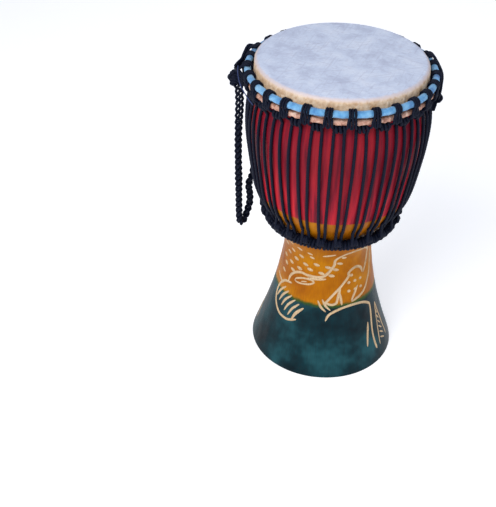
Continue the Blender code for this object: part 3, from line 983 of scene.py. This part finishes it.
def build_knot(name, node, look, size, lean, turns=3, sink=0.0):
    """A coil of cord at a CAD knot, leaning from upright towards the tangent, with a core inside it."""
    low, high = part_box(node)
    center = np.array((low + high) / 2)
    radial = unit(np.array([center[0], center[1], 0.0]))
    center = center - radial * sink * 0.4 - np.array([0.0, 0.0, sink])
    tangent = np.cross([0.0, 0.0, 1.0], radial)
    a = math.radians(lean)
    up = np.array([0.0, 0.0, 1.0]) * math.cos(a) + tangent * math.sin(a)
    side = np.cross(up, radial)
    paths = [knot_path(center, side, up, radial, size, turns)]
    if size > 2 * CORD_R:
        paths.append(knot_path(center, radial, up, side, size * 0.45, turns))
    rope = cord(name, paths, CORD_R * 1.15, look, closed=True, sides=10, step=0.0014)
    return stand_for(rope, node, "head_assembly")


def trail(name, look, paths):
    """Loose lengths of cord that lie along the rings, each given as (azimuth, radius, height) points."""
    lines = [catmull([polar(*point) for point in path], 8) for path in paths]
    rope = cord(name, lines, CORD_R, look, sides=10, step=0.0015)
    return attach(rope, "head_assembly")


def strap_leads():
    """Cords from the strap's top knot: four back along the ring, and a fan forward under it."""
    out, z = CROWN_R + 0.0134, CROWN_Z
    inside = (CROWN_R - 0.0040, z + 0.0080)
    knot_r, knot_z = math.hypot(STRAP_HINGE[0], STRAP_HINGE[1]) + 0.0020, STRAP_HINGE[2]
    paths = []
    for i in range(4):
        rise = 0.0042 * i
        paths.append([(-43, knot_r, knot_z + rise), (-47, knot_r - 0.0035, knot_z + 0.0010 + rise),
                      (-51, out + 0.0004, z - 0.0140 + rise), (-55, out, z - 0.0100 + rise),
                      (-58 - i, out - 0.0012, z - 0.0030 + rise), (-60.5 - i, out - 0.0070, z + 0.0085),
                      (-61.5 - i, *inside)])
    for i in range(5):
        rise = 0.0050 * i
        paths.append([(-43, knot_r - 0.0010, knot_z - 0.0080 + 0.8 * rise),
                      (-40, 0.1765, z - 0.0260 + rise), (-37, 0.1725, z - 0.0250 + rise),
                      (-33.5, 0.1665, z - 0.0270 + 0.9 * rise)])
    paths.append([(-42, knot_r, knot_z + 0.0060), (-39.5, 0.1770, knot_z + 0.0100),
                  (-37, out - 0.0005, z + 0.0010), (-35.5, out - 0.0070, z + 0.0090), (-35, *inside)])
    return paths


def tie_off_leads():
    """The rope's spare length: four cords back along the ring to the tie-off, and three short ends."""
    out, z = CROWN_R + 0.0122, CROWN_Z
    low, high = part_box("tie_off_knot")
    knot_z = (low.z + high.z) / 2
    paths = []
    for i in range(4):
        fall = 0.0044 * i - 0.0022
        paths.append([(160 - 2 * i, CROWN_R - 0.0040, z + 0.0080),
                      (158.5 - 2 * i, out - 0.0062, z + 0.0088),
                      (155 - 2 * i, out - 0.0006, z - 0.0010 - fall), (148, out, z - 0.0050 - fall),
                      (141, out, z - 0.0070 - fall), (136.5, out - 0.0004, z - 0.0130 - fall),
                      (135 - i, out - 0.0024, z - 0.0240 - 0.6 * fall),
                      (135.5, 0.1680, knot_z + 0.0040 - fall)])
    for i in range(3):
        tuck = 0.0026 * i
        paths.append([(135, 0.1664 - tuck, knot_z - 0.0020), (132, 0.1650 - tuck, knot_z - 0.0080),
                      (130, 0.1626 - 0.5 * tuck, knot_z - 0.0170)])
    return paths


def build_knots(look):
    """Strap knots and the tie-off, with the cords that lead from them along the crown ring."""
    build_knot("knot_strap_top", "strap_top_knot", look, 0.0072, -14, 5, 0.0070)
    build_knot("knot_strap_low", "strap_lower_knot", look, 0.0046, 60)
    build_knot("knot_tie_off", "tie_off_knot", look, 0.0036, 15)
    trail("knot_strap_leads", look, strap_leads())
    trail("knot_tie_off_leads", look, tie_off_leads())


def build_tie_cord(look):
    """Thin cord from the strap's top knot down to the next bights."""
    controls = [polar(-38.5, 0.1756, 0.5930), polar(-34.0, 0.1766, 0.5860), polar(-25.0, 0.1768, 0.5790),
                polar(-15.0, 0.1752, 0.5710), polar(-9.0, 0.1730, 0.5640)]
    rope = cord("tie_cord_thin", [catmull(controls, 10)], 0.0010, look, sides=9, step=0.0008, lay=0.005)
    return stand_for(rope, "strap_tie_cord", "head_assembly")


# --- studio

def build_floor():
    """Plain pale floor, lit enough to read as white."""
    look = Look("pale_floor", 0.9)
    look.set("Base Color", srgb(244, 244, 246))
    look.set("Emission Color", srgb(255, 255, 255))
    look.set("Emission Strength", FLOOR_GLOW)
    corners = FLOOR_HALF * np.array([(-1, -1, 0), (1, -1, 0), (1, 1, 0), (-1, 1, 0)])
    floor = make_object("floor", corners, [(0, 1, 2, 3)], [look.material])
    floor.location.z = -CLEAR


def area_light(name, azimuth, elevation, distance, size, power, color):
    """Soft square light that faces the middle of the drum."""
    light = bpy.data.lights.new(name, "AREA")
    light.size = size
    light.energy = power
    light.color = color
    lamp = bpy.data.objects.new(name, light)
    e = math.radians(elevation)
    target = Vector((0.0, 0.0, HEAD_Z / 2))
    lamp.location = target + Vector(polar(azimuth, distance * math.cos(e), distance * math.sin(e)))
    lamp.rotation_euler = (lamp.location - target).to_track_quat("Z", "Y").to_euler()
    bpy.context.collection.objects.link(lamp)


def studio_world():
    """Dim even light from all round, which the camera sees as a pale backdrop."""
    world = bpy.data.worlds.new("studio")
    world.use_nodes = True
    tree = world.node_tree
    light = tree.nodes["Background"]
    backdrop = tree.nodes.new("ShaderNodeBackground")
    for node, color, strength in ((light, srgb(226, 232, 244), WORLD_GLOW),
                                  (backdrop, srgb(240, 243, 250), BACKDROP_GLOW)):
        node.inputs["Color"].default_value = color
        node.inputs["Strength"].default_value = strength
    mix = tree.nodes.new("ShaderNodeMixShader")
    seen = tree.nodes.new("ShaderNodeLightPath")
    tree.links.new(seen.outputs["Is Camera Ray"], mix.inputs[0])
    tree.links.new(light.outputs[0], mix.inputs[1])
    tree.links.new(backdrop.outputs[0], mix.inputs[2])
    tree.links.new(mix.outputs[0], tree.nodes["World Output"].inputs["Surface"])
    return world


def build_light():
    for name, (turned, *settings) in LAMPS.items():
        area_light(name, FRONT + turned, *settings)
    bpy.context.scene.world = studio_world()
    bpy.context.scene.view_settings.view_transform = "Standard"


def build_camera():
    """Stands off the front, above the head, and looks down with the drum right of centre."""
    elevation = math.radians(CAMERA_ELEVATION)
    back, rise = CAMERA_DISTANCE * math.cos(elevation), CAMERA_DISTANCE * math.sin(elevation)
    turns = ((FRONT - CAMERA_PAN, "Z"), (90 - CAMERA_TILT, "X"), (CAMERA_ROLL, "Z"))
    pan, tilt, roll = (Matrix.Rotation(math.radians(angle), 3, axis) for angle, axis in turns)
    data = bpy.data.cameras.new("camera")
    data.lens = CAMERA_LENS
    camera = bpy.data.objects.new("camera", data)
    stand = Vector(polar(FRONT, back, CROWN_Z + rise))
    camera.matrix_world = Matrix.LocRotScale(stand, pan @ tilt @ roll, None)
    bpy.context.collection.objects.link(camera)
    bpy.context.scene.camera = camera


# --- assembly

def main():
    black = srgb(12, 20, 42)
    rope_look = cord_look("black_cord", black, srgb(30, 46, 58), srgb(52, 34, 50))
    build_shell()
    build_head()
    blue = wound_cloth("blue_cloth", srgb(58, 116, 176), srgb(92, 160, 212), srgb(136, 190, 228))
    dark = wound_cloth("black_cloth", srgb(16, 17, 24), srgb(28, 30, 42), srgb(46, 48, 62))
    wound_ring("crown_cloth", "crown_ring_cloth", ring_of("crown_ring"), CROWN_CLOTH, 56, 1080, 24, blue,
               "head_assembly")
    wound_ring("bottom_cloth", "bottom_ring_cloth", ring_of("bottom_ring"), BOTTOM_CLOTH, 44, 640, 18, dark,
               "drum_body")
    build_upper_cradle(rope_look)
    build_lower_cradle(rope_look)
    build_tension_rope(rope_look)
    build_strap(rope_look)
    build_knots(rope_look)
    build_tie_cord(cord_look("navy_cord", srgb(64, 76, 120), srgb(110, 120, 160), srgb(40, 44, 70)))
    bar = steel()
    for node in ("crown_ring", "flesh_hoop", "bottom_ring"):
        frame["nodes"][node].data.materials.clear()
        frame["nodes"][node].data.materials.append(bar)
    build_floor()
    build_light()
    build_camera()


main()
